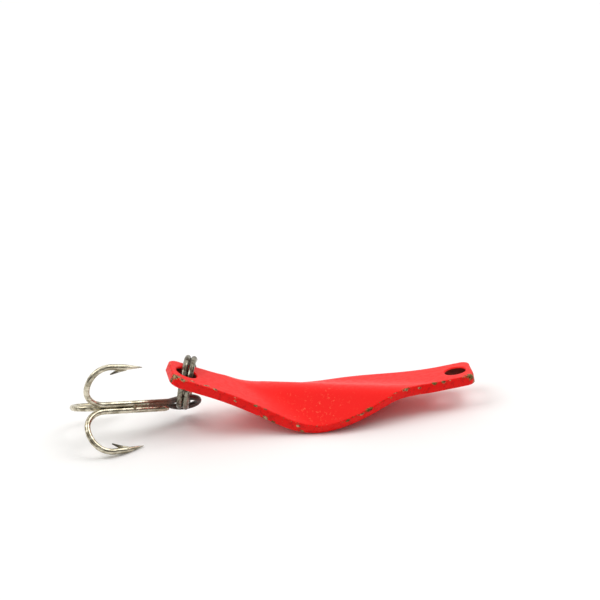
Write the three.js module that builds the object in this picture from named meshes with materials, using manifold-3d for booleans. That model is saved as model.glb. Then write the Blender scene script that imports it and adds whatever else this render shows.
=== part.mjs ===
// A bent-plate metal fishing lure ("spoon") with a split ring and a treble hook, in millimetres.
//
// Frame: +X runs from the tail (hook end) to the nose (line end), +Z is up, and the lure lies on
// z = 0 the way it rests on a table. The origin is under the middle of the object's box.
//
// The body is a flat brass blank, wide in the middle and narrow at both ends, bent along three
// skew lines. Its tail panel stays in the blank's own plane; every bend lifts or drops the nose side.

import * as THREE from "three";
import { mergeVertices } from "three/addons/utils/BufferGeometryUtils.js";
import Module from "manifold-3d";

const wasm = await Module();
wasm.setup();

// ---- driving dimensions -------------------------------------------------------------------

const BLANK = {
  length: 45.8,
  thickness: 1.46,
  endHalfWidth: 3.5,
  belly: 4.35,           // how much wider each side is at the middle
  bellyX: 23.95,
  bellyReach: 17.8,
  tailCorner: 1.7,       // corner radii of the two ends
  noseCorner: 1.3,
};

// Each bend: where its line crosses the centre line, its skew from straight across (the -Y end
// leans to the nose), its angle (positive lifts the nose side) and the width that is curved.
const BENDS = [
  { x: 32.85, skew: 54, angle: 23, width: 4.5 },
  { x: 23.05, skew: 70, angle: -54, width: 3.4 },
  { x: 15.55, skew: 34, angle: 46, width: 4.8 },
];

const HOLE_DIAMETER = 3.1;
const TAIL_HOLE_X = 2.5;
const NOSE_HOLE_X = BLANK.length - 2.4;
const BODY_TILT = { yaw: 3.6, pitch: 26.3, roll: -1.45 };

const RING = {
  wire: 0.88,
  radius: 3.55,          // to the middle of the wire
  coilGap: 0.04,
  jogAt: 62,             // degrees from the top, towards the far side
  jogSpan: 34,
  endGap: 5,
  yaw: -12.0,
  pitch: 12.5,
  fromHole: [0.27, 2.57, -2.19],    // the ring's middle, from the middle of the tail hole
};

const HOOK = {
  wire: 0.88,
  wireGap: 0.04,
  gape: 7.0,             // shank axis to the middle of the point's arm
  armIn: 0.985,          // the same share where the point begins to taper
  tipIn: 0.963,          // how far out the tip is, as a share of the gape
  nearTipIn: 0.91,       // the near prong's tip turns in more
  bendX: 3.3,            // where the bend leaves the shank, from the bend's outermost point
  armX: 3.2,             // where the bend becomes the straight arm
  pointX: 8.0,
  taper: 2.9,
  barbRootX: 4.9,
  barbTipX: 3.2,
  barbLift: 1.25,
  barbRootRadius: 0.26,
  barbTipRadius: 0.05,
  tipRadius: 0.04,
  eyeStartX: 13.0,
  eyeX: 16.1,
  eyeHalfLength: 2.0,
  eyeHalfWidth: 1.5,
  eyeOffset: 0.3,
  singleEndX: 13.2,      // where the single hook's shank is cut off
  yaw: 17.6,
  pitch: 11.8,
  roll: 9.7,
  fromRing: [-0.42, 0.5, -3.39],    // the middle of the hook's eye, from the ring's middle
};

// ---- materials ----------------------------------------------------------------------------

const paint = new THREE.MeshStandardMaterial({ color: 0xe8342b, roughness: 0.38, metalness: 0.0 });
const ringSteel = new THREE.MeshStandardMaterial({ color: 0x6e6c66, roughness: 0.35, metalness: 1.0 });
const nickel = new THREE.MeshStandardMaterial({ color: 0xb4ad98, roughness: 0.3, metalness: 1.0 });

// ---- solids -------------------------------------------------------------------------------

const radians = THREE.MathUtils.degToRad;

function toSolid(geometry) {
  const bare = geometry.clone();
  bare.deleteAttribute("normal");
  bare.deleteAttribute("uv");
  const merged = mergeVertices(bare, 1e-5);
  const vertProperties = new Float32Array(merged.attributes.position.array);
  const triVerts = new Uint32Array(merged.index.array);
  return new wasm.Manifold(new wasm.Mesh({ numProp: 3, vertProperties, triVerts }));
}

function toGeometry(solid) {
  const mesh = solid.getMesh();
  const geometry = new THREE.BufferGeometry();
  geometry.setAttribute("position", new THREE.BufferAttribute(mesh.vertProperties, 3));
  geometry.setIndex(new THREE.BufferAttribute(mesh.triVerts, 1));
  geometry.computeVertexNormals();
  return geometry;
}

function join(geometries) {
  const solids = geometries.map(toSolid);
  return toGeometry(solids.reduce((sum, solid) => sum.add(solid)));
}

// A round bar or cone from one point to another.
function bar(from, to, startRadius, endRadius, sides = 10) {
  const along = new THREE.Vector3().subVectors(to, from);
  const geometry = new THREE.CylinderGeometry(endRadius, startRadius, along.length(), sides);
  const up = new THREE.Vector3(0, 1, 0);
  geometry.applyQuaternion(new THREE.Quaternion().setFromUnitVectors(up, along.clone().normalize()));
  const middle = from.clone().addScaledVector(along, 0.5);
  return geometry.translate(middle.x, middle.y, middle.z);
}

function wireAlong(path, diameter, steps, sides = 10) {
  const section = new THREE.Shape();
  section.absarc(0, 0, diameter / 2, 0, 2 * Math.PI);
  return new THREE.ExtrudeGeometry(section, {
    steps,
    curveSegments: sides / 2,
    bevelEnabled: false,
    extrudePath: path,
  });
}

// ---- body plate ---------------------------------------------------------------------------

function halfWidth(x) {
  const reach = THREE.MathUtils.clamp((x - BLANK.bellyX) / BLANK.bellyReach, -1, 1);
  let width = BLANK.endHalfWidth + BLANK.belly * Math.cos((reach * Math.PI) / 2) ** 2;
  const fromNose = BLANK.length - x;
  for (const [distance, corner] of [[x, BLANK.tailCorner], [fromNose, BLANK.noseCorner]]) {
    if (distance < corner) {
      width -= corner - Math.sqrt(corner ** 2 - (corner - distance) ** 2);
    }
  }
  return width;
}

// Rows across the blank: close together round the corners of the ends, even between them.
function rowPositions(cornerRows, middleRows) {
  const rows = [];
  for (let i = 0; i < cornerRows; i += 1) {
    rows.push(BLANK.tailCorner * (1 - Math.cos((i / cornerRows) * (Math.PI / 2))));
  }
  const start = BLANK.tailCorner;
  const end = BLANK.length - BLANK.noseCorner;
  for (let i = 0; i <= middleRows; i += 1) {
    rows.push(start + ((end - start) * i) / middleRows);
  }
  for (let i = cornerRows - 1; i >= 0; i -= 1) {
    rows.push(BLANK.length - BLANK.noseCorner * (1 - Math.cos((i / cornerRows) * (Math.PI / 2))));
  }
  return rows;
}

// Bends a point of the blank round a line, like a plate pressed over a round bar.
function bendPoint(point, bend) {
  const angle = radians(bend.angle);
  const skew = radians(bend.skew);
  const across = new THREE.Vector2(Math.cos(skew), Math.sin(skew));
  const distance = (point.x - bend.x) * across.x + point.y * across.y;
  const start = -bend.width / 2;
  if (distance <= start) {
    return point;
  }
  const radius = bend.width / angle;
  const turned = Math.min(distance - start, bend.width) / radius;
  const beyond = Math.max(distance - start - bend.width, 0);
  const reach = start + (radius - point.z) * Math.sin(turned) + beyond * Math.cos(angle);
  const height = radius - (radius - point.z) * Math.cos(turned) + beyond * Math.sin(angle);
  point.x += (reach - distance) * across.x;
  point.y += (reach - distance) * across.y;
  point.z = height;
  return point;
}

function bendAll(point) {
  return BENDS.reduce(bendPoint, point);
}

// A round cutter square to the plate at a point of the centre line.
function holeCutter(x) {
  const below = bendAll(new THREE.Vector3(x, 0, -2 * BLANK.thickness));
  const above = bendAll(new THREE.Vector3(x, 0, 2 * BLANK.thickness));
  return bar(below, above, HOLE_DIAMETER / 2, HOLE_DIAMETER / 2, 28);
}

function bodyGeometry() {
  const rows = rowPositions(5, 52);
  const columns = 12;
  const blank = new THREE.BoxGeometry(1, 2, BLANK.thickness, rows.length - 1, columns, 1);
  const position = blank.attributes.position;
  const point = new THREE.Vector3();
  for (let i = 0; i < position.count; i += 1) {
    point.fromBufferAttribute(position, i);
    const x = rows[Math.round((point.x + 0.5) * (rows.length - 1))];
    point.set(x, point.y * halfWidth(x), point.z);
    bendAll(point);
    position.setXYZ(i, point.x, point.y, point.z);
  }
  const plate = toSolid(blank);
  const tailHole = toSolid(holeCutter(TAIL_HOLE_X));
  const noseHole = toSolid(holeCutter(NOSE_HOLE_X));
  return toGeometry(plate.subtract(tailHole).subtract(noseHole));
}

// ---- split ring ---------------------------------------------------------------------------

// Two flat turns of one wire, side by side, with one short step from the first to the second.
class SplitRingPath extends THREE.Curve {
  getPoint(t, target = new THREE.Vector3()) {
    const end = RING.jogSpan / 2 + RING.endGap;
    const turned = THREE.MathUtils.lerp(end, 720 - end, t);
    const step = THREE.MathUtils.smoothstep(turned, 360 - RING.jogSpan / 2, 360 + RING.jogSpan / 2);
    const pitch = RING.wire + RING.coilGap;
    const angle = radians(RING.jogAt + turned);
    return target.set(pitch * (step - 0.5), RING.radius * Math.sin(angle), RING.radius * Math.cos(angle));
  }
}

// ---- treble hook --------------------------------------------------------------------------

// Where a wire of the hook sits: x runs from the bend to the eye, r out from the shank's axis.
function hookPoint(x, r, direction) {
  const angle = radians(direction);
  return new THREE.Vector3(x, -r * Math.sin(angle), r * Math.cos(angle));
}

// Three round wires side by side: how far each one's middle is from the shank's axis.
const SHANK_R = (HOOK.wire + HOOK.wireGap) / Math.sqrt(3);

// The bend's curve: its control points' distances out, as shares of the gape, and along the shank.
const BEND_OUT = { arm: 1.006, shoulder: 0.79, middle: 0.49, throat: 0.25 };
const BEND_ALONG = { arm: 1.3, throat: 1.5 };

// Control point distance that makes a cubic curve follow a quarter of an ellipse.
const QUARTER = 0.552;

// The path of one prong, from its arm back round the bend to the shank.
function prongCurves(direction) {
  const at = (x, r) => hookPoint(x, r, direction);
  const gape = HOOK.gape;
  return [
    new THREE.LineCurve3(at(HOOK.pointX - HOOK.taper, gape * HOOK.armIn), at(HOOK.armX, gape)),
    new THREE.CubicBezierCurve3(
      at(HOOK.armX, gape), at(BEND_ALONG.arm, gape * BEND_OUT.arm),
      at(0, gape * BEND_OUT.shoulder), at(0, gape * BEND_OUT.middle)),
    new THREE.CubicBezierCurve3(
      at(0, gape * BEND_OUT.middle), at(0, gape * BEND_OUT.throat),
      at(BEND_ALONG.throat, SHANK_R), at(HOOK.bendX, SHANK_R)),
  ];
}

// The tapered point and the barb that rises from the arm's inner side.
function pointSolids(direction, tipIn = HOOK.tipIn) {
  const at = (x, r) => hookPoint(x, r, direction);
  const radius = HOOK.wire / 2;
  const gape = HOOK.gape;
  const overlap = 0.05;    // the point starts this far inside the arm, so that the two join
  const taperStart = at(HOOK.pointX - HOOK.taper - overlap, gape * HOOK.armIn);
  const barbRoot = at(HOOK.barbRootX, gape * HOOK.armIn - radius * 0.45);
  return [
    bar(taperStart, at(HOOK.pointX, gape * tipIn), radius * 0.999, HOOK.tipRadius),
    bar(barbRoot, at(HOOK.barbTipX, gape - HOOK.barbLift), HOOK.barbRootRadius, HOOK.barbTipRadius, 6),
  ];
}

// Half of the eye, from the shank round to the eye's far end.
function eyeCurves(direction, side) {
  const eye = (x, w) => {
    const middle = hookPoint(x, HOOK.eyeOffset, -60);
    const across = hookPoint(0, w * side, 30);
    return middle.add(across);
  };
  const { eyeX, eyeHalfLength, eyeHalfWidth } = HOOK;
  const start = hookPoint(HOOK.eyeStartX, SHANK_R, direction);
  const before = hookPoint(HOOK.eyeStartX + 0.7, SHANK_R, direction);
  return [
    new THREE.LineCurve3(hookPoint(HOOK.bendX, SHANK_R, direction), start),
    new THREE.CubicBezierCurve3(
      start, before, eye(eyeX - eyeHalfLength * 0.75, eyeHalfWidth), eye(eyeX, eyeHalfWidth)),
    new THREE.CubicBezierCurve3(
      eye(eyeX, eyeHalfWidth), eye(eyeX + eyeHalfLength * QUARTER, eyeHalfWidth),
      eye(eyeX + eyeHalfLength, eyeHalfWidth * QUARTER), eye(eyeX + eyeHalfLength, 0)),
  ];
}

function reversed(curves) {
  return curves.slice().reverse().map((curve) => {
    if (curve.isLineCurve3) {
      return new THREE.LineCurve3(curve.v2, curve.v1);
    }
    return new THREE.CubicBezierCurve3(curve.v3, curve.v2, curve.v1, curve.v0);
  });
}

function pathOf(curves) {
  const path = new THREE.CurvePath();
  curves.forEach((curve) => path.add(curve));
  return path;
}

// The upper prong and the far prong are one wire, doubled round at the eye.
function doubleHookGeometry() {
  const upper = [...prongCurves(0), ...eyeCurves(0, 1)];
  const far = [...prongCurves(-120), ...eyeCurves(-120, -1)];
  const wire = wireAlong(pathOf([...upper, ...reversed(far)]), HOOK.wire, 124);
  return join([wire, ...pointSolids(0), ...pointSolids(-120)]);
}

// The near prong is a wire of its own, laid in the groove of the other two and brazed there.
function singleHookGeometry() {
  const near = 120;
  const shank = new THREE.LineCurve3(
    hookPoint(HOOK.bendX, SHANK_R, near), hookPoint(HOOK.singleEndX - 0.4, SHANK_R, near));
  const wire = wireAlong(pathOf([...prongCurves(near), shank]), HOOK.wire, 48);
  const radius = HOOK.wire / 2;
  const chamfer = bar(shank.v2, hookPoint(HOOK.singleEndX, SHANK_R, near), radius * 0.999, radius * 0.6);
  return join([wire, chamfer, ...pointSolids(near, HOOK.nearTipIn)]);
}

// ---- assembly -----------------------------------------------------------------------------

function turnedGroup({ yaw, pitch, roll = 0 }) {
  const group = new THREE.Group();
  group.rotation.set(radians(roll), radians(pitch), radians(yaw), "ZYX");
  return group;
}

function addMesh(group, name, geometry, material) {
  const mesh = new THREE.Mesh(geometry, material);
  mesh.name = name;
  group.add(mesh);
  return mesh;
}

function fishingLure() {
  const lure = new THREE.Group();

  const body = turnedGroup(BODY_TILT);
  addMesh(body, "body_plate", bodyGeometry(), paint);
  lure.add(body);
  body.updateMatrixWorld(true);

  const tailHole = body.localToWorld(new THREE.Vector3(TAIL_HOLE_X, 0, 0));
  const ring = turnedGroup(RING);
  ring.position.copy(tailHole).add(new THREE.Vector3(...RING.fromHole));
  addMesh(ring, "split_ring", wireAlong(new SplitRingPath(), RING.wire, 84), ringSteel);
  lure.add(ring);

  const hook = turnedGroup(HOOK);
  const eye = hookPoint(HOOK.eyeX, HOOK.eyeOffset, -60).applyEuler(hook.rotation);
  hook.position.copy(ring.position).add(new THREE.Vector3(...HOOK.fromRing)).sub(eye);
  addMesh(hook, "treble_double_hook", doubleHookGeometry(), nickel);
  addMesh(hook, "treble_single_hook", singleHookGeometry(), nickel);
  lure.add(hook);

  const box = new THREE.Box3().setFromObject(lure, true);
  const middle = box.getCenter(new THREE.Vector3());
  lure.position.set(-middle.x, -middle.y, -box.min.z);
  return lure;
}

export default fishingLure();
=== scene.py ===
"""A bent-plate metal lure with a split ring and a treble hook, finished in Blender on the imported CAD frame.

Shapes are worked out in millimetres in each part's own frame and put in place in metres. The blank's
frame has x along the plate from the tail end, y across it and z through it. The hook's frame has x from
the bend to the eye. The ring's frame has x along the ring's axis.
"""

import math

import bpy
import numpy as np
from mathutils import Euler, Matrix, Vector


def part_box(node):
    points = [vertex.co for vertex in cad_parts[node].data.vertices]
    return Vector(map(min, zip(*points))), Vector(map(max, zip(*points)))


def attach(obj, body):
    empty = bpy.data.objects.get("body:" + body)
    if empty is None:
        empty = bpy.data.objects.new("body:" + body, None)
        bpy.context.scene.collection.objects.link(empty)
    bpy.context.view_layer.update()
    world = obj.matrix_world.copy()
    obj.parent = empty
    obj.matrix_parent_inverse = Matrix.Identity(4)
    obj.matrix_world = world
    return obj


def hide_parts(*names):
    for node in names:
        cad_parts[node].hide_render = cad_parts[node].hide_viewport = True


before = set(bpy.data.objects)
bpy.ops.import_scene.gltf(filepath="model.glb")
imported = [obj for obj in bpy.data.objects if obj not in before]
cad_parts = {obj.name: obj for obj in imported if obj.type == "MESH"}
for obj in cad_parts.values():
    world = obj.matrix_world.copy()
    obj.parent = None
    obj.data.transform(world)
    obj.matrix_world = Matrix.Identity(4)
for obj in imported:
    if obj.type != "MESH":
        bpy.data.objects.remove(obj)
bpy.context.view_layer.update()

MM = 0.001

# ---- dimensions, in millimetres and degrees, as in the CAD ---------------------------------

LENGTH = 45.8
THICKNESS = 1.46
END_HALF_WIDTH = 3.5
BELLY = 4.35
BELLY_X = 23.95
BELLY_REACH = 17.8
TAIL_CORNER = 1.7
NOSE_CORNER = 1.3
EDGE_RADIUS = 0.2
# A helper script fitted the bends to the photo's outline, and they were rounded afterwards.
BENDS = [(32.85, 54, 23, 4.5), (23.05, 70, -54, 3.4), (15.55, 34, 46, 4.8)]  # x, skew, angle, width
HOLE_RADIUS = 1.55
HOLE_RIM = 0.2
HOLES_X = (2.5, LENGTH - 2.4)
BODY_TURN = (-1.45, 26.3, 3.6)

WIRE = 0.88
WIRE_GAP = 0.04
RING_RADIUS = 3.55
RING_JOG = 62
RING_JOG_SPAN = 34
RING_END_GAP = 5
RING_TURN = (0.0, 12.5, -12.0)

GAPE = 7.0
ARM_IN = 0.985                  # shares of the gape: where the point begins to taper, and the tips
TIP_IN = 0.963
NEAR_TIP_IN = 0.91
POINT_RADIUS = 0.035
BEND_OUT = (1.006, 0.79, 0.49, 0.25)  # control points of the bend, from the arm in, as shares of the gape
BEND_ALONG = (1.3, 1.5)         # and how far along the shank its first and last ones are
BEND_X = 3.3
ARM_X = 3.2
POINT_X = 8.0
TAPER = 2.9
BARB_ROOT_X = 4.9
BARB_TIP_X = 3.2
BARB_LIFT = 1.25
EYE_START_X = 13.0
EYE_X = 16.1
EYE_HALF_LENGTH = 2.0
EYE_HALF_WIDTH = 1.5
EYE_OFFSET = 0.3
SINGLE_END_X = 13.2
SHANK_R = (WIRE + WIRE_GAP) / math.sqrt(3)
HOOK_TURN = (9.7, 11.8, 17.6)
UPPER, FAR, NEAR = 0, -120, 120  # directions of the prongs, in degrees round the shank
EYE_LEAN = (UPPER + FAR) / 2    # the eye lies between the double hook's two shanks
EYE_ACROSS = EYE_LEAN + 90
QUARTER = 0.552                 # control point distance for a cubic curve round a quarter of an ellipse

BRAZE_FROM = 7.3
BRAZE_TO = 13.05
BRAZE_RADIUS = 0.6
BRAZE_BLOB_X = 7.75


# ---- mesh helpers ---------------------------------------------------------------------------

def turned(points, angles):
    """Points in a part's own frame turned to the way the part lies, still in millimetres."""
    turn = Euler([math.radians(a) for a in angles], "XYZ").to_matrix()
    return np.asarray(points) @ np.array(turn).T


def shift_onto(points, *nodes):
    """The move in millimetres that brings the box round these points onto the box of the CAD nodes."""
    corners = [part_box(node) for node in nodes]
    low = np.min([np.array(c[0]) for c in corners], axis=0) / MM
    high = np.max([np.array(c[1]) for c in corners], axis=0) / MM
    return (low + high) / 2 - (points.min(0) + points.max(0)) / 2


def add_attribute(mesh, name, values):
    """Stores one number or one vector for each vertex, for the materials to read."""
    values = np.asarray(values, float)
    kind = "FLOAT" if values.ndim == 1 else "FLOAT_VECTOR"
    layer = mesh.attributes.new(name, kind, "POINT")
    layer.data.foreach_set("value" if values.ndim == 1 else "vector", values.ravel())


def mesh_object(name, points, faces, sharp_angle=35):
    """A smooth-shaded object from points in millimetres, with edges over sharp_angle left crisp."""
    mesh = bpy.data.meshes.new(name)
    mesh.from_pydata((np.asarray(points) * MM).tolist(), [], faces)
    mesh.validate()
    mesh.shade_smooth()
    mesh.set_sharp_from_angle(angle=math.radians(sharp_angle))
    obj = bpy.data.objects.new(name, mesh)
    bpy.context.scene.collection.objects.link(obj)
    return obj


def read_points(mesh):
    points = np.empty(len(mesh.vertices) * 3)
    mesh.vertices.foreach_get("co", points)
    return points.reshape(-1, 3)


# ---- body plate -----------------------------------------------------------------------------

MIDDLE_ROWS = 130
COLUMNS = 31


def half_width(x):
    """Half the blank's width at x: a raised cosine between straight ends with rounded corners."""
    reach = np.clip((x - BELLY_X) / BELLY_REACH, -1, 1)
    width = END_HALF_WIDTH + BELLY * np.cos(reach * math.pi / 2) ** 2
    for distance, corner in ((x, TAIL_CORNER), (LENGTH - x, NOSE_CORNER)):
        inside = np.clip(corner - distance, 0, corner)
        width = width - (corner - np.sqrt(corner ** 2 - inside ** 2))
    return width


def outline():
    """The blank's edge as a dense closed line of points."""
    turn = (1 - np.cos(np.linspace(0, math.pi / 2, 24)))
    x = np.unique(np.concatenate([
        TAIL_CORNER * turn, np.linspace(TAIL_CORNER, LENGTH - NOSE_CORNER, 200),
        LENGTH - NOSE_CORNER * turn]))
    upper = np.stack([x, half_width(x)], 1)
    return np.concatenate([upper, upper[::-1] * (1, -1)])


def distance_to(line, points):
    """How far each point is from a closed line."""
    start, end = line, np.roll(line, -1, axis=0)
    along = end - start
    length2 = np.maximum((along ** 2).sum(1), 1e-12)
    nearest = np.full(len(points), 1e9)
    for a, d, l2 in zip(start, along, length2):
        t = np.clip(((points - a) @ d) / l2, 0, 1)
        nearest = np.minimum(nearest, np.hypot(*(points - a - t[:, None] * d).T))
    return nearest


def blank_grid():
    """Rows along the blank and columns across it, packed where the edge is rounded over."""
    fine = EDGE_RADIUS * np.array([0, 0.06, 0.2, 0.42, 0.7, 1.0])
    turn = 1 - np.cos(np.linspace(0, math.pi / 2, 14))
    rows = np.concatenate([
        fine, TAIL_CORNER * turn, np.linspace(TAIL_CORNER, LENGTH - NOSE_CORNER, MIDDLE_ROWS),
        LENGTH - NOSE_CORNER * turn, LENGTH - fine])
    rows = np.unique(np.round(rows, 4))
    inner = np.linspace(-1, 1, COLUMNS + 2)[1:-1]
    grid = []
    for x in rows:
        width = half_width(x)
        middle = (width - EDGE_RADIUS) * inner
        grid.append(np.concatenate([-width + fine, middle, (width - fine)[::-1]]))
    y = np.array(grid)
    x = np.repeat(rows[:, None], y.shape[1], axis=1)
    return x, y


def blank_solid():
    """The flat blank with its edge rounded over, before the holes."""
    x, y = blank_grid()
    rows, columns = x.shape
    flat = np.stack([x.ravel(), y.ravel()], 1)
    inside = np.clip(EDGE_RADIUS - distance_to(outline(), flat), 0, EDGE_RADIUS)
    top = THICKNESS / 2 - (EDGE_RADIUS - np.sqrt(EDGE_RADIUS ** 2 - inside ** 2))
    points = np.concatenate([np.column_stack([flat, top]), np.column_stack([flat, -top])])
    index = np.arange(rows * columns).reshape(rows, columns)
    under = rows * columns
    faces = []
    for i in range(rows - 1):
        for j in range(columns - 1):
            a, b, c, d = index[i, j], index[i + 1, j], index[i + 1, j + 1], index[i, j + 1]
            faces.append((a, b, c, d))
            faces.append((d + under, c + under, b + under, a + under))
    rim = [*index[:, 0], *index[-1, 1:], *index[-2::-1, -1], *index[0, -2:0:-1]]
    for a, b in zip(rim, rim[1:] + rim[:1]):
        faces.append((b, a, a + under, b + under))
    return mesh_object("body_plate_painted", points, [tuple(map(int, f)) for f in faces])


def hole_cutter(x):
    """A round punch whose flared ends leave the hole's rims slightly rounded over."""
    half = THICKNESS / 2
    profile = [(0, -half - 0.4), (HOLE_RADIUS + HOLE_RIM + 0.12, -half - 0.4),
               (HOLE_RADIUS + HOLE_RIM, -half), (HOLE_RADIUS + HOLE_RIM * 0.45, -half + HOLE_RIM * 0.24),
               (HOLE_RADIUS + HOLE_RIM * 0.12, -half + HOLE_RIM * 0.65),
               (HOLE_RADIUS, -half + HOLE_RIM * 1.2)]
    profile += [(r, -z) for r, z in reversed(profile)]
    sides = 56
    points, faces = [], []
    for k in range(sides):
        angle = 2 * math.pi * k / sides
        points += [(x + r * math.cos(angle), r * math.sin(angle), z) for r, z in profile[1:-1]]
    n = len(profile) - 2
    for k in range(sides):
        nxt = (k + 1) % sides
        for j in range(n - 1):
            faces.append((k * n + j, nxt * n + j, nxt * n + j + 1, k * n + j + 1))
    faces.append(tuple(k * n for k in reversed(range(sides))))
    faces.append(tuple(k * n + n - 1 for k in range(sides)))
    return mesh_object("punch", points, faces)


def punch_holes(plate):
    """Cuts both holes in the flat blank, so that they stay round and square to it."""
    for x in HOLES_X:
        punch = hole_cutter(x)
        cut = plate.modifiers.new("hole", "BOOLEAN")
        cut.operation = "DIFFERENCE"
        cut.solver = "EXACT"
        cut.object = punch
        evaluated = plate.evaluated_get(bpy.context.evaluated_depsgraph_get())
        cut_mesh = bpy.data.meshes.new_from_object(evaluated)
        plate.modifiers.clear()
        plate.data = cut_mesh
        bpy.data.objects.remove(punch)
    plate.data.name = "body_plate_painted"


def bend(points):
    """Bends the blank's points round each skew line in turn, the way the plate was pressed."""
    points = points.copy()
    for x, skew, angle, width in BENDS:
        angle, skew = math.radians(angle), math.radians(skew)
        across = np.array([math.cos(skew), math.sin(skew)])
        distance = (points[:, 0] - x) * across[0] + points[:, 1] * across[1]
        start, radius = -width / 2, width / angle
        curved = np.clip(distance - start, 0, width) / radius
        beyond = np.maximum(distance - start - width, 0)
        z = points[:, 2]
        reach = start + (radius - z) * np.sin(curved) + beyond * math.cos(angle)
        height = radius - (radius - z) * np.cos(curved) + beyond * math.sin(angle)
        past = distance > start
        points[:, :2] += np.where(past, reach - distance, 0)[:, None] * across
        points[:, 2] = np.where(past, height, z)
    return points


def from_holes(points):
    """How far each point of the flat blank is from the wall of the nearer hole."""
    away = [np.abs(np.hypot(points[:, 0] - x, points[:, 1]) - HOLE_RADIUS) for x in HOLES_X]
    return np.minimum(*away)


def body_plate():
    """Builds the body flat, punches it, bends it and lays it down.

    Returns where the origin of the blank's frame ends up, in millimetres.
    """
    plate = blank_solid()
    punch_holes(plate)
    flat = read_points(plate.data) / MM
    add_attribute(plate.data, "blank", flat)
    add_attribute(plate.data, "edge", distance_to(outline(), flat[:, :2]))
    add_attribute(plate.data, "bore", from_holes(flat))
    placed = turned(bend(flat), BODY_TURN)
    blank_at = shift_onto(placed, "body_plate")
    placed += blank_at
    plate.data.vertices.foreach_set("co", (placed * MM).ravel())
    plate.data.shade_smooth()
    plate.data.set_sharp_from_angle(angle=math.radians(35))
    plate.data.materials.append(red_enamel())
    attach(plate, "lure_body")
    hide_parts("body_plate")
    return blank_at


# ---- wires ----------------------------------------------------------------------------------

def sweep(path, radii, sides=18, flatten=1.0, first_side=(0, 0, 1)):
    """Points and faces of a closed tube along a path, with its own radius at each step."""
    path = np.asarray(path, float)
    tangent = np.gradient(path, axis=0)
    tangent /= np.linalg.norm(tangent, axis=1)[:, None]
    side = np.array(first_side, float)
    points, faces = [], []
    for centre, along, radius in zip(path, tangent, radii):
        side = side - along * (side @ along)
        side /= np.linalg.norm(side)
        other = np.cross(along, side)
        for k in range(sides):
            angle = 2 * math.pi * k / sides
            points.append(centre + radius * (math.cos(angle) * side + flatten * math.sin(angle) * other))
    for i in range(len(path) - 1):
        for k in range(sides):
            a, b = i * sides + k, i * sides + (k + 1) % sides
            faces.append((a, b, b + sides, a + sides))
    faces.append(tuple(reversed(range(sides))))
    last = (len(path) - 1) * sides
    faces.append(tuple(range(last, last + sides)))
    return np.array(points), faces


def joined(parts):
    """Several sets of points and faces as one."""
    points, faces, start = [], [], 0
    for part_points, part_faces in parts:
        points.append(part_points)
        faces += [tuple(i + start for i in face) for face in part_faces]
        start += len(part_points)
    return np.concatenate(points), faces


def bezier(a, b, c, d, steps):
    t = np.linspace(0, 1, steps, endpoint=False)[:, None]
    a, b, c, d = (np.array(p, float) for p in (a, b, c, d))
    return a * (1 - t) ** 3 + 3 * b * t * (1 - t) ** 2 + 3 * c * t ** 2 * (1 - t) + d * t ** 3


def line(a, b, steps):
    t = np.linspace(0, 1, steps, endpoint=False)[:, None]
    return np.array(a, float) * (1 - t) + np.array(b, float) * t


def cut_ends(radii, steps=3, smallest=0.72):
    """Radii whose two ends are slightly rounded, like wire that was snipped."""
    ease = np.sqrt(np.linspace(smallest ** 2, 1, steps + 1))[:steps]
    radii[:steps] *= ease
    radii[-steps:] *= ease[::-1]
    return radii


def ring_path():
    """Two flat turns of one wire, side by side, with one short step from the first to the second."""
    start = RING_JOG_SPAN / 2 + RING_END_GAP
    stop = 720 - start
    tips = np.array([0.15, 0.4, 0.8])
    turned_by = np.unique(np.concatenate([start + tips, np.linspace(start, stop, 360), stop - tips]))
    step = np.clip((turned_by - 360 + RING_JOG_SPAN / 2) / RING_JOG_SPAN, 0, 1)
    step = step * step * (3 - 2 * step)
    angle = np.radians(RING_JOG + turned_by)
    across = (WIRE + WIRE_GAP) * (step - 0.5)
    return np.stack([across, RING_RADIUS * np.sin(angle), RING_RADIUS * np.cos(angle)], 1)


def split_ring():
    path = ring_path()
    points, faces = sweep(path, cut_ends(np.full(len(path), WIRE / 2)), sides=20, first_side=(1, 0, 0))
    placed = turned(points, RING_TURN)
    ring = mesh_object("split_ring_wire", placed + shift_onto(placed, "split_ring"), faces, 50)
    add_attribute(ring.data, "local", points)
    ring.data.materials.append(ring_steel())
    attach(ring, "ring")
    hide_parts("split_ring")


# ---- treble hook ----------------------------------------------------------------------------

def hook_point(x, r, direction):
    """x runs from the bend to the eye, r out from the shank's axis in that prong's direction."""
    angle = math.radians(direction)
    return np.array([x, -r * math.sin(angle), r * math.cos(angle)])


POINT_STEPS = 22  # steps of a prong's path that are its tapered point


def prong_path(direction, tip_in):
    """From the tip down the arm and round the bend to the shank."""
    def at(x, r):
        return hook_point(x, r, direction)
    taper_start = at(POINT_X - TAPER, GAPE * ARM_IN)
    arm, shoulder, middle, throat = (GAPE * share for share in BEND_OUT)
    first, last = BEND_ALONG
    return np.concatenate([
        line(at(POINT_X, GAPE * tip_in), taper_start, POINT_STEPS),
        line(taper_start, at(ARM_X, GAPE), 8),
        bezier(at(ARM_X, GAPE), at(first, arm), at(0, shoulder), at(0, middle), 26),
        bezier(at(0, middle), at(0, throat), at(last, SHANK_R), at(BEND_X, SHANK_R), 22),
    ])


def prong_radii(count):
    """Wire radius along a prong's path: a long straight point that swells into the round wire."""
    radii = np.full(count, WIRE / 2)
    share = np.linspace(0, 1, POINT_STEPS + 1)[:POINT_STEPS]
    radii[:POINT_STEPS] = POINT_RADIUS + (WIRE / 2 - POINT_RADIUS) * share ** 0.86
    return radii


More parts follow.
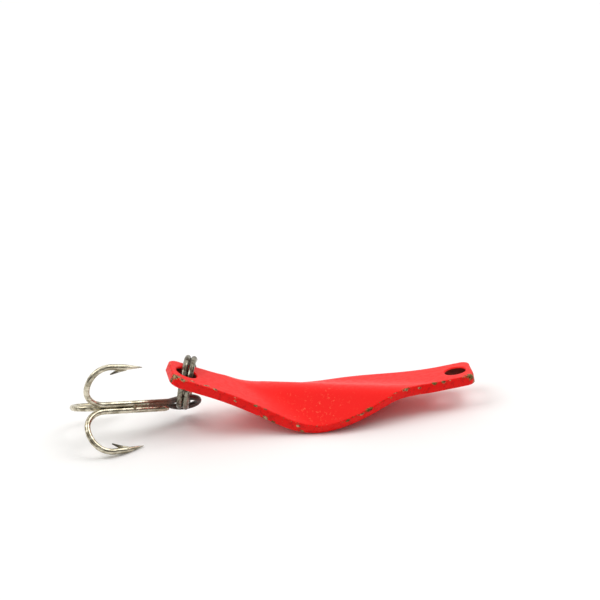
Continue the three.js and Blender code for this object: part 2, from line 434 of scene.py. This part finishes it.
def eye_path(direction, side):
    """From the shank round one side of the eye to its far end."""
    def eye(x, w):
        return hook_point(x, EYE_OFFSET, EYE_LEAN) + hook_point(0, w * side, EYE_ACROSS)
    start = hook_point(EYE_START_X, SHANK_R, direction)
    far_x = EYE_X + EYE_HALF_LENGTH
    return np.concatenate([
        line(hook_point(BEND_X, SHANK_R, direction), start, 30),
        bezier(start, hook_point(EYE_START_X + 0.7, SHANK_R, direction),
               eye(EYE_X - EYE_HALF_LENGTH * 0.75, EYE_HALF_WIDTH), eye(EYE_X, EYE_HALF_WIDTH), 20),
        bezier(eye(EYE_X, EYE_HALF_WIDTH), eye(EYE_X + EYE_HALF_LENGTH * QUARTER, EYE_HALF_WIDTH),
               eye(far_x, EYE_HALF_WIDTH * QUARTER), eye(far_x, 0), 16),
    ])


def barb(direction):
    """The sliver cut up from the inner side of the arm, leaning back towards the bend."""
    def at(x, r):
        return hook_point(x, r, direction)
    inner = GAPE * ARM_IN - WIRE / 2
    tip = at(BARB_TIP_X, GAPE - BARB_LIFT)
    path = bezier(at(BARB_ROOT_X + 0.5, inner + 0.28), at(BARB_ROOT_X - 0.2, inner + 0.1),
                  at(BARB_ROOT_X - 0.7, inner - 0.2), tip, 12)
    path = np.concatenate([path, [tip]])
    radii = 0.5 * np.linspace(1, 0.1, len(path)) ** 0.65
    return sweep(path, radii, sides=12, flatten=0.75, first_side=hook_point(0, 1, direction + 90))


def double_hook_shape():
    upper = np.concatenate([prong_path(UPPER, TIP_IN), eye_path(UPPER, 1)])
    far = np.concatenate([prong_path(FAR, TIP_IN), eye_path(FAR, -1)])
    middle = hook_point(EYE_X + EYE_HALF_LENGTH, EYE_OFFSET, EYE_LEAN)[None]
    path = np.concatenate([upper, middle, far[::-1]])
    radii = np.concatenate([prong_radii(len(upper)), [WIRE / 2], prong_radii(len(far))[::-1]])
    wire = sweep(path, radii, first_side=hook_point(0, 1, 90))
    return joined([wire, barb(UPPER), barb(FAR)])


def single_hook_shape():
    end = hook_point(SINGLE_END_X, SHANK_R, NEAR)
    shank = line(hook_point(BEND_X, SHANK_R, NEAR), end, 36)
    path = np.concatenate([prong_path(NEAR, NEAR_TIP_IN), shank, [end]])
    radii = prong_radii(len(path))
    radii[-3:] *= (0.98, 0.86, 0.66)
    wire = sweep(path, radii, first_side=hook_point(0, 1, NEAR + 90))
    return joined([wire, barb(NEAR)])


def braze_shape():
    """Braze metal run into the grooves between the three shanks, with a blob where it stopped."""
    x = np.linspace(BRAZE_FROM, BRAZE_TO, 60)
    lumps = 0.035 * np.sin(x * 5.1) + 0.025 * np.sin(x * 11.3 + 1)
    blob = 0.16 * np.exp(-((x - BRAZE_BLOB_X) / 0.35) ** 2)
    radii = BRAZE_RADIUS + lumps + blob
    ends = np.clip(np.minimum(x - BRAZE_FROM, BRAZE_TO - x) / 0.45, 0, 1)
    radii *= np.sqrt(1 - (1 - ends) ** 2) * 0.94 + 0.06
    path = np.stack([x, np.zeros_like(x), np.zeros_like(x)], 1)
    return sweep(path, radii, sides=30)


def treble_hook():
    rusty = hook_steel("hook_nickel_rusted", 9.2, 0.92)
    clean = hook_steel("hook_nickel_worn", 13.6, 0.55)
    shapes = {
        "treble_double_wire": (double_hook_shape(), rusty, "treble_double_hook"),
        "treble_single_wire": (single_hook_shape(), clean, "treble_single_hook"),
        "braze_fillet": (braze_shape(), braze_metal(), None),
    }
    wires = [turned(shape[0], HOOK_TURN) for shape, _, node in shapes.values() if node]
    move = shift_onto(np.concatenate(wires), "treble_double_hook", "treble_single_hook")
    for name, ((points, faces), material, node) in shapes.items():
        piece = mesh_object(name, turned(points, HOOK_TURN) + move, faces, 50)
        add_attribute(piece.data, "local", points)
        piece.data.materials.append(material)
        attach(piece, "treble")
        if node:
            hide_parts(node)


# ---- material helpers -----------------------------------------------------------------------

class Nodes:
    """A short way to write a node material: each call adds a node and returns its output."""

    def __init__(self, name):
        self.material = bpy.data.materials.new(name)
        self.material.use_nodes = True
        self.tree = self.material.node_tree
        self.shader = self.tree.nodes["Principled BSDF"]

    def put(self, socket, value):
        if isinstance(value, bpy.types.NodeSocket):
            self.tree.links.new(value, socket)
        else:
            socket.default_value = value

    def attribute(self, name, vector=True):
        node = self.tree.nodes.new("ShaderNodeAttribute")
        node.attribute_name = name
        return node.outputs["Vector" if vector else "Fac"]

    def noise(self, vector, scale, detail=3.0, roughness=0.55):
        node = self.tree.nodes.new("ShaderNodeTexNoise")
        self.put(node.inputs["Vector"], vector)
        self.put(node.inputs["Scale"], scale)
        self.put(node.inputs["Detail"], detail)
        self.put(node.inputs["Roughness"], roughness)
        return node.outputs["Fac"]

    def math(self, operation, a, b=0.0):
        node = self.tree.nodes.new("ShaderNodeMath")
        node.operation = operation
        self.put(node.inputs[0], a)
        self.put(node.inputs[1], b)
        return node.outputs[0]

    def vector(self, operation, a, b):
        node = self.tree.nodes.new("ShaderNodeVectorMath")
        node.operation = operation
        self.put(node.inputs[0], a)
        self.put(node.inputs[1], b)
        return node.outputs["Value" if operation == "DISTANCE" else "Vector"]

    def ramp(self, value, low, high, to_low=0.0, to_high=1.0):
        node = self.tree.nodes.new("ShaderNodeMapRange")
        node.interpolation_type = "SMOOTHSTEP"
        for socket, number in zip(("From Min", "From Max", "To Min", "To Max"), (low, high, to_low, to_high)):
            self.put(node.inputs[socket], number)
        self.put(node.inputs["Value"], value)
        return node.outputs["Result"]

    def mix(self, factor, a, b):
        node = self.tree.nodes.new("ShaderNodeMix")
        node.data_type = "RGBA"
        self.put(node.inputs["Factor"], factor)
        for socket, colour in ((node.inputs[6], a), (node.inputs[7], b)):
            self.put(socket, colour if isinstance(colour, bpy.types.NodeSocket) else (*colour, 1.0))
        return node.outputs[2]

    def part(self, vector, axis):
        node = self.tree.nodes.new("ShaderNodeSeparateXYZ")
        self.put(node.inputs[0], vector)
        return node.outputs[axis]

    def bump(self, height, strength, distance):
        """Bumps of that height; distance is in millimetres."""
        node = self.tree.nodes.new("ShaderNodeBump")
        self.put(node.inputs["Height"], height)
        node.inputs["Strength"].default_value = strength
        node.inputs["Distance"].default_value = distance * MM
        return node.outputs["Normal"]

    def set(self, **values):
        for name, value in values.items():
            socket = self.shader.inputs[name.replace("_", " ")]
            self.put(socket, (*value, 1.0) if isinstance(value, tuple) else value)


# ---- materials ------------------------------------------------------------------------------

# Where the enamel has chipped through to brass: a point on the flat blank and a radius, in millimetres.
# A helper script worked out most of the points from places read off the photo. The others and the radii
# were given one by one.
CHIPS = [
    (0.4, -2.6, 0.65, 0.5), (0.2, -2.3, -0.2, 0.36), (1.5, -3.3, 0.7, 0.3), (2.9, -2.9, 0.73, 0.22),
    (5.1, -2.9, 0.73, 0.26), (6.4, -3.3, 0.73, 0.22), (9.6, -4.0, 0.1, 0.18), (12.6, -4.7, 0.6, 0.2),
    (14.4, -5.4, -0.6, 0.3), (15.6, -5.8, -0.7, 0.24), (19.0, -7.1, 0.2, 0.2), (19.6, -7.4, -0.5, 0.24),
    (26.4, -7.7, 0.5, 0.2), (28.6, -7.2, 0.5, 0.18), (29.8, -6.8, 0.7, 0.34), (33.4, -5.6, 0.4, 0.16),
    (35.6, -4.7, 0.6, 0.3), (37.6, -4.1, 0.3, 0.18), (39.9, -3.6, 0.7, 0.28), (41.2, -3.5, 0.6, 0.22),
    (45.2, -3.1, 0.5, 0.5), (45.4, -2.6, -0.3, 0.42),
]
CHIP_STRETCH = 0.6  # chips are longer along the edge than across it
SCUFFED = (22.0, -3.6, 0.7)

RED, RED_DEEP = (0.88, 0.005, 0.004), (0.94, 0.008, 0.005)
RED_WORN, RED_SCUFFED = (0.42, 0.003, 0.005), (0.95, 0.16, 0.09)
BRASS_OLIVE, BRASS_TAN, BRASS_TARNISHED = (0.21, 0.165, 0.04), (0.62, 0.43, 0.22), (0.07, 0.026, 0.012)
HOLE_DARK, HOLE_RED = (0.045, 0.008, 0.006), (0.20, 0.025, 0.014)
STEEL_DARK, STEEL_LIGHT, STEEL_TARNISHED = (0.20, 0.19, 0.15), (0.42, 0.40, 0.32), (0.075, 0.055, 0.038)
# The third of these is painted shade for the barbs, also used to darken the points.
NICKEL_DARK, NICKEL_LIGHT, NICKEL_SHADE_AND_DARK_TIP = (0.27, 0.235, 0.16), (0.74, 0.69, 0.55), (0.055, 0.05, 0.04)
RUST_RED, RUST_BROWN = (0.23, 0.075, 0.035), (0.075, 0.024, 0.018)
RUST_OLD, RUST_OLD_GREY = (0.030, 0.017, 0.018), (0.085, 0.05, 0.05)
BRAZE_DARK, BRAZE_LIGHT, BRAZE_RUST = (0.15, 0.11, 0.06), (0.52, 0.44, 0.30), (0.12, 0.045, 0.03)
PAPER = (0.92, 0.92, 0.92)


def union(n, masks):
    """1 wherever any of the masks is."""
    total = masks[0]
    for mask in masks[1:]:
        total = n.math("MAXIMUM", total, mask)
    return total


def chipped(n, blank, edge, bore):
    """1 where the paint is gone: chosen chips, fine wear along the plate's corners, and the holes' walls."""
    ragged = n.math("SUBTRACT", n.noise(blank, 2.3, 6.0, 0.8), 0.5)
    height = n.math("ABSOLUTE", n.part(blank, 2))
    corner = n.math("MULTIPLY", n.ramp(height, 0.44, 0.6), n.ramp(edge, 0.3, 0.16))
    rubbed = n.ramp(n.noise(n.vector("MULTIPLY", blank, (0.5, 1.0, 1.0)), 2.6, 5.0, 0.75), 0.585, 0.61)
    in_hole = n.ramp(n.math("ADD", height, n.math("MULTIPLY", ragged, 0.4)), 0.58, 0.5)
    in_hole = n.math("MULTIPLY", in_hole, n.ramp(bore, 0.12, 0.05))
    masks = [n.math("MULTIPLY", corner, rubbed), in_hole]
    longways = n.vector("MULTIPLY", blank, (CHIP_STRETCH, 1.0, 1.0))
    for x, y, z, radius in CHIPS:
        away = n.vector("DISTANCE", longways, (x * CHIP_STRETCH, y, z))
        away = n.math("ADD", away, n.math("MULTIPLY", ragged, 4.0 * radius))
        masks.append(n.ramp(away, radius, radius * 0.88))
    return union(n, masks)


def scuffs(n, blank):
    """Fine marks in a worn patch in the middle of the lure, and a few elsewhere."""
    fine = n.noise(n.vector("MULTIPLY", blank, (1.0, 0.6, 1.0)), 3.2, 6.0, 0.8)
    patch = n.ramp(n.vector("DISTANCE", blank, SCUFFED), 7.5, 1.5, 0.15, 1.0)
    clumps = n.ramp(n.noise(blank, 0.7, 3.0), 0.38, 0.56)
    return n.math("MULTIPLY", n.ramp(fine, 0.56, 0.64), n.math("MULTIPLY", patch, clumps))


def red_enamel():
    n = Nodes("red_enamel")
    blank = n.attribute("blank")
    edge, bore = n.attribute("edge", vector=False), n.attribute("bore", vector=False)
    chip = chipped(n, blank, edge, bore)
    scuff = scuffs(n, blank)
    tone = n.mix(n.noise(blank, 0.2, 4.0), RED, RED_DEEP)
    mottle = n.math("MULTIPLY", n.ramp(n.noise(blank, 1.3, 5.0, 0.7), 0.5, 0.64), n.ramp(edge, 0.34, 0.1))
    paint = n.mix(n.math("MULTIPLY", mottle, 0.42), tone, RED_WORN)
    paint = n.mix(n.math("MULTIPLY", scuff, 0.7), paint, RED_SCUFFED)
    metal = n.mix(n.ramp(n.noise(blank, 0.4), 0.4, 0.6), BRASS_OLIVE, BRASS_TAN)
    brass = n.mix(n.ramp(n.noise(blank, 3.6, 4.0, 0.7), 0.42, 0.58), BRASS_TARNISHED, metal)
    # The holes' walls are coloured dark brown to dull red.
    bore_colour = n.mix(n.noise(blank, 1.6), HOLE_DARK, HOLE_RED)
    brass = n.mix(n.ramp(bore, 0.2, 0.08), brass, bore_colour)
    peel = n.noise(blank, 1.3, 3.0)
    height = n.math("SUBTRACT", n.math("MULTIPLY", peel, 0.4), chip)
    worn = n.math("MAXIMUM", scuff, chip)
    n.set(
        Base_Color=n.mix(chip, paint, brass),
        Metallic=n.math("MULTIPLY", chip, 0.4),
        Roughness=n.math("ADD", n.ramp(peel, 0.3, 0.7, 0.36, 0.46), n.math("MULTIPLY", worn, 0.14)),
        Specular_IOR_Level=0.15,
        Normal=n.bump(height, 0.6, 0.06),
    )
    return n.material


def ring_steel():
    n = Nodes("ring_steel_tarnished")
    local = n.attribute("local")
    cloud = n.noise(local, 1.2, 4.0, 0.6)
    tarnish = n.ramp(cloud, 0.43, 0.6)
    bright = n.mix(n.noise(local, 5.0, 3.0), STEEL_DARK, STEEL_LIGHT)
    n.set(
        Base_Color=n.mix(tarnish, bright, STEEL_TARNISHED),
        Metallic=1.0,
        Roughness=n.ramp(cloud, 0.3, 0.75, 0.2, 0.42),
        Normal=n.bump(n.noise(local, 7.0, 2.0), 0.2, 0.02),
    )
    return n.material


def barb_shade_and_dark_points(n, local):
    """Nearly 1 on the barbs, as painted shade, and up to a half towards the points, which are just darker."""
    along = n.part(local, 0)
    out = n.vector("DISTANCE", n.vector("MULTIPLY", local, (0.0, 1.0, 1.0)), (0.0, 0.0, 0.0))
    inside_arm = n.ramp(out, GAPE - 0.5, GAPE - 0.8)
    past_bend = n.ramp(along, BARB_TIP_X - 0.3, BARB_TIP_X, 0.0, 0.85)
    barbs = n.math("MULTIPLY", inside_arm, past_bend)
    points = n.ramp(along, POINT_X - 1.2, POINT_X, 0.0, 0.5)
    off_shank = n.ramp(out, GAPE - 2.2, GAPE - 1.9)
    return n.math("MULTIPLY", off_shank, n.math("MAXIMUM", barbs, points))


def hook_steel(name, rust_from, rust_most):
    """Worn nickel that rusts towards the eye, from that distance along the hook, in millimetres."""
    n = Nodes(name)
    local = n.attribute("local")
    along = n.part(local, 0)
    streaks = n.noise(n.vector("MULTIPLY", local, (0.6, 1.6, 1.6)), 1.1, 3.0, 0.55)
    plating = n.mix(n.ramp(streaks, 0.3, 0.68), NICKEL_DARK, NICKEL_LIGHT)
    # Painted shade on the barbs, and darker points.
    plating = n.mix(barb_shade_and_dark_points(n, local), plating, NICKEL_SHADE_AND_DARK_TIP)
    speckle = n.math("SUBTRACT", n.noise(local, 2.6, 5.0, 0.75), 0.5)
    ragged = n.math("ADD", along, n.math("MULTIPLY", speckle, 9.0))
    rust = n.math("MULTIPLY", n.ramp(ragged, rust_from, rust_from + 1.6), rust_most)
    on_eye = n.ramp(n.math("ADD", along, speckle), EYE_START_X - 0.4, EYE_START_X + 0.8)
    fresh = n.mix(n.noise(local, 4.2, 4.0), RUST_RED, RUST_BROWN)
    old = n.mix(n.noise(local, 1.6, 3.0), RUST_OLD, RUST_OLD_GREY)
    n.set(
        Base_Color=n.mix(rust, plating, n.mix(on_eye, fresh, old)),
        Metallic=n.math("SUBTRACT", 1.0, n.math("MULTIPLY", rust, 0.5)),
        Roughness=n.math("ADD", n.ramp(streaks, 0.35, 0.7, 0.18, 0.32), n.math("MULTIPLY", rust, 0.16)),
        Normal=n.bump(n.noise(local, 6.0, 2.0), 0.22, 0.02),
    )
    return n.material


def braze_metal():
    n = Nodes("braze_metal")
    local = n.attribute("local")
    lumps = n.noise(local, 2.2, 4.0, 0.65)
    rust = n.ramp(n.math("ADD", n.part(local, 0), n.math("MULTIPLY", lumps, 3.0)), 9.6, 11.6)
    metal = n.mix(lumps, BRAZE_DARK, BRAZE_LIGHT)
    n.set(
        Base_Color=n.mix(n.math("MULTIPLY", rust, 0.85), metal, BRAZE_RUST),
        Metallic=n.math("SUBTRACT", 1.0, n.math("MULTIPLY", rust, 0.9)),
        Roughness=n.ramp(lumps, 0.3, 0.7, 0.42, 0.68),
        Normal=n.bump(lumps, 0.5, 0.06),
    )
    return n.material


# ---- floor, light and camera ----------------------------------------------------------------

FLOOR_HALF = 1.5
BRIGHTEST = (0.0, 0.7, 0.714)  # the direction of the room's brightest part: high behind the lure


def floor():
    half = FLOOR_HALF
    mesh = bpy.data.meshes.new("floor")
    corners = [(-half, -half, 0), (half, -half, 0), (half, half, 0), (-half, half, 0)]
    mesh.from_pydata(corners, [], [(0, 1, 2, 3)])
    obj = bpy.data.objects.new("floor", mesh)
    bpy.context.scene.collection.objects.link(obj)
    n = Nodes("pale_paper")
    n.set(Base_Color=PAPER, Roughness=0.65)
    mesh.materials.append(n.material)


def softbox(name, place, size, power):
    """A square area light, in metres and watts, facing the lure."""
    light = bpy.data.lights.new(name, "AREA")
    light.shape = "SQUARE"
    light.size = size
    light.energy = power
    obj = bpy.data.objects.new(name, light)
    obj.location = place
    obj.rotation_euler = (-Vector(place)).to_track_quat("-Z", "Y").to_euler()
    bpy.context.scene.collection.objects.link(obj)


def studio():
    """A pale room brightest high behind the lure, soft light at both sides and a faint one in front."""
    world = bpy.data.worlds.new("studio")
    world.use_nodes = True
    tree = world.node_tree
    spot = tree.nodes.new("ShaderNodeTexCoord")
    facing = tree.nodes.new("ShaderNodeVectorMath")
    facing.operation = "DOT_PRODUCT"
    facing.inputs[1].default_value = BRIGHTEST
    shade = tree.nodes.new("ShaderNodeMapRange")
    for name, number in (("From Min", -0.3), ("From Max", 0.95), ("To Min", 0.08), ("To Max", 1.06)):
        shade.inputs[name].default_value = number
    tree.links.new(spot.outputs["Generated"], facing.inputs[0])
    tree.links.new(facing.outputs["Value"], shade.inputs["Value"])
    tree.links.new(shade.outputs["Result"], tree.nodes["Background"].inputs["Strength"])
    tree.nodes["Background"].inputs["Color"].default_value = (1.0, 0.985, 0.955, 1.0)
    bpy.context.scene.world = world
    bpy.context.scene.view_settings.view_transform = "Standard"
    softbox("left", (-0.55, 0.05, 0.7), 0.5, 2.4)
    softbox("right", (0.5, 0.05, 0.7), 0.5, 2.2)
    softbox("front", (-0.2, -1.0, 0.33), 1.0, 1.5)


AIM_FROM_BLANK = (20.43, 8.34, 5.34)  # millimetres from the tail end of the blank's centre line
CAMERA_DISTANCE = 411.8 * MM
CAMERA_ELEVATION = 24.7
CAMERA_AZIMUTH = 4.87
CAMERA_ROLL = -4.09
LENS = 168.0


def camera(blank_at):
    aim = Vector(blank_at) * MM + Vector(AIM_FROM_BLANK) * MM
    azimuth, elevation, roll = (math.radians(a) for a in (CAMERA_AZIMUTH, CAMERA_ELEVATION, CAMERA_ROLL))
    toward = Vector((-math.sin(azimuth) * math.cos(elevation), -math.cos(azimuth) * math.cos(elevation),
                     math.sin(elevation)))
    level = Vector((math.cos(azimuth), -math.sin(azimuth), 0))
    upright = toward.cross(level)
    right = level * math.cos(roll) + upright * math.sin(roll)
    up = toward.cross(right)
    data = bpy.data.cameras.new("camera")
    data.lens = LENS
    obj = bpy.data.objects.new("camera", data)
    turn = Matrix((right, up, toward)).transposed().to_4x4()
    obj.matrix_world = Matrix.Translation(aim + toward * CAMERA_DISTANCE) @ turn
    bpy.context.scene.collection.objects.link(obj)
    bpy.context.scene.camera = obj


blank_at = body_plate()
split_ring()
treble_hook()
floor()
studio()
camera(blank_at)
